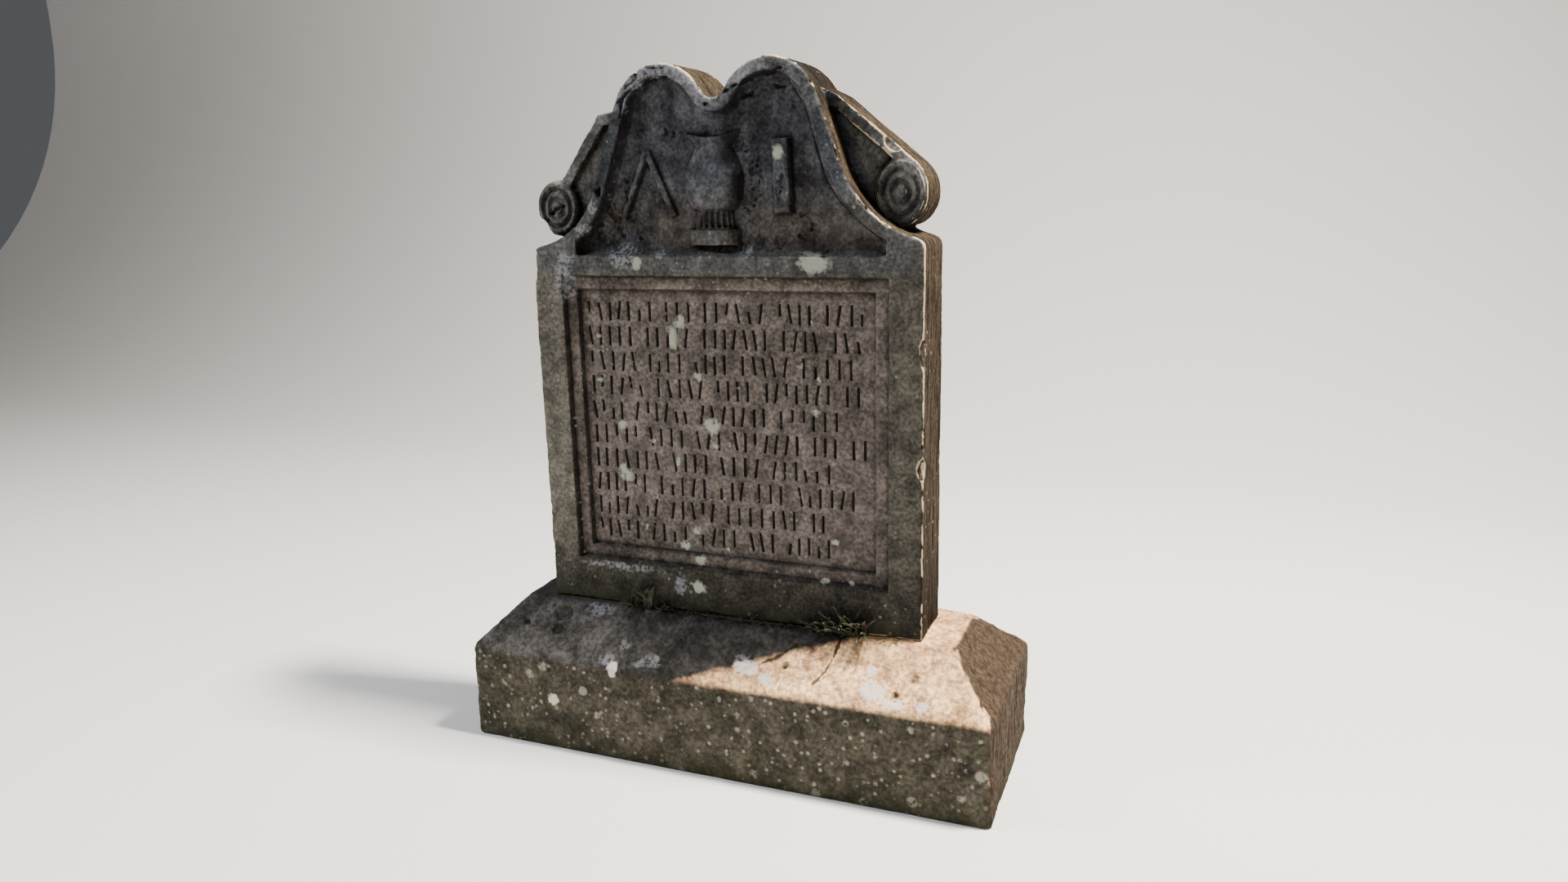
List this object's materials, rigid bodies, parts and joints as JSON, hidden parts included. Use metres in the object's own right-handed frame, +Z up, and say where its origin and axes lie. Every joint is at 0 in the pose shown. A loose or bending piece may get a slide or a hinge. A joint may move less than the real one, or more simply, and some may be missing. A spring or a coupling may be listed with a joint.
{
  "type": "gravestone",
  "caption": "Upright carved stone grave marker with a double-humped crown, side scrolls, an urn in relief and a framed panel, standing on a chamfered plinth.",
  "frame": {"origin": "middle of the plinth's underside, at ground level", "axes": "+Z up, -Y out of the carved face, +X to the right of someone who faces the carving"},
  "size_m": [0.918, 0.333, 1.1242],
  "materials": {
    "headstone_stone": "weathered dark sandstone with lichen, paler along its chipped arrises",
    "plinth_stone": "weathered buff sandstone with pale lichen spots and mossy pits"
  },
  "bodies": {
    "root": {"headstone": "headstone_stone", "plinth": "plinth_stone"}
  },
  "joints": []
}
